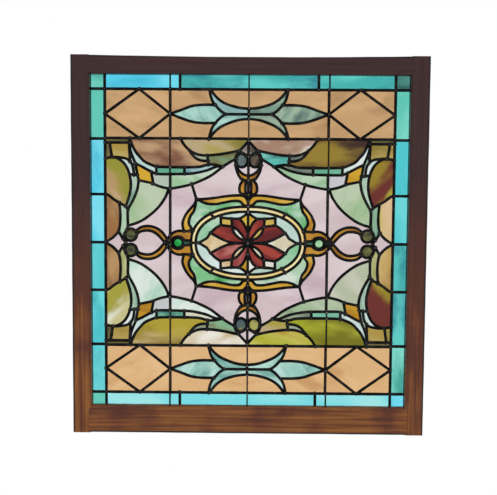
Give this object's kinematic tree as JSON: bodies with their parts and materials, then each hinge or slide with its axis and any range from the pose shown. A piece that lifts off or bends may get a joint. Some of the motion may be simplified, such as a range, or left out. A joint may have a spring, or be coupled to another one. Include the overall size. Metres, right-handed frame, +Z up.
{
  "type": "stained glass window",
  "caption": "Upright rectangular leaded stained glass window in a varnished wooden sash, with an oval medallion, scrolling leaves, plain border tiles and upright saddle bars.",
  "frame": {"origin": "middle of the flat underside of the bottom rail, halfway through the sash, where the window stands on its sill", "axes": "+X to the right seen from the front, +Y from the front to the back, +Z up the sash"},
  "size_m": [0.7794, 0.035, 0.8325],
  "materials": {
    "wood": "old glossy varnish, worn",
    "lead": "dull dark lead",
    "iron": "dull, with solder",
    "putty": "dry linseed putty",
    "glass_border": "coloured sheet glass",
    "glass_tan": "coloured sheet glass",
    "glass_lily": "coloured sheet glass",
    "glass_leaf": "coloured sheet glass",
    "glass_crescent": "coloured sheet glass",
    "glass_sail": "coloured sheet glass",
    "glass_side_leaf": "coloured sheet glass",
    "glass_dee": "coloured sheet glass",
    "glass_mauve": "coloured sheet glass",
    "glass_ring": "coloured sheet glass",
    "glass_flower": "coloured sheet glass",
    "glass_surround": "coloured sheet glass",
    "glass_amber": "coloured sheet glass"
  },
  "bodies": {
    "root": {"left_stile": "wood", "right_stile": "wood", "top_rail": "wood", "bottom_rail": "wood", "lead_cames": "lead", "glazing_putty": "putty", "saddle_bar_1": "iron", "saddle_bar_2": "iron", "saddle_bar_3": "iron", "glass_border_bottom": "glass_border", "glass_border_left": "glass_border", "glass_border_right": "glass_border", "glass_border_top": "glass_border", "glass_bottom_band_lily": "glass_lily", "glass_bottom_band_lower_tan": "glass_tan", "glass_bottom_band_upper_tan": "glass_tan", "glass_bottom_ornament": "glass_amber", "glass_left_diamond": "glass_mauve", "glass_left_ornament": "glass_amber", "glass_lower_left_band_tan": "glass_tan", "glass_lower_left_crescent": "glass_crescent", "glass_lower_left_dee": "glass_dee", "glass_lower_left_leaves": "glass_leaf", "glass_lower_left_mauve": "glass_mauve", "glass_lower_left_sail": "glass_sail", "glass_lower_left_side_leaf": "glass_side_leaf", "glass_lower_left_surround": "glass_surround", "glass_lower_right_band_tan": "glass_tan", "glass_lower_right_crescent": "glass_crescent", "glass_lower_right_dee": "glass_dee", "glass_lower_right_leaves": "glass_leaf", "glass_lower_right_mauve": "glass_mauve", "glass_lower_right_sail": "glass_sail", "glass_lower_right_side_leaf": "glass_side_leaf", "glass_lower_right_surround": "glass_surround", "glass_medallion_flower": "glass_flower", "glass_medallion_ring": "glass_ring", "glass_right_diamond": "glass_mauve", "glass_right_ornament": "glass_amber", "glass_top_band_lily": "glass_lily", "glass_top_band_lower_tan": "glass_tan", "glass_top_band_upper_tan": "glass_tan", "glass_top_ornament": "glass_amber", "glass_upper_left_band_tan": "glass_tan", "glass_upper_left_crescent": "glass_crescent", "glass_upper_left_dee": "glass_dee", "glass_upper_left_leaves": "glass_leaf", "glass_upper_left_mauve": "glass_mauve", "glass_upper_left_sail": "glass_sail", "glass_upper_left_side_leaf": "glass_side_leaf", "glass_upper_left_surround": "glass_surround", "glass_upper_right_band_tan": "glass_tan", "glass_upper_right_crescent": "glass_crescent", "glass_upper_right_dee": "glass_dee", "glass_upper_right_leaves": "glass_leaf", "glass_upper_right_mauve": "glass_mauve", "glass_upper_right_sail": "glass_sail", "glass_upper_right_side_leaf": "glass_side_leaf", "glass_upper_right_surround": "glass_surround"}
  },
  "joints": []
}
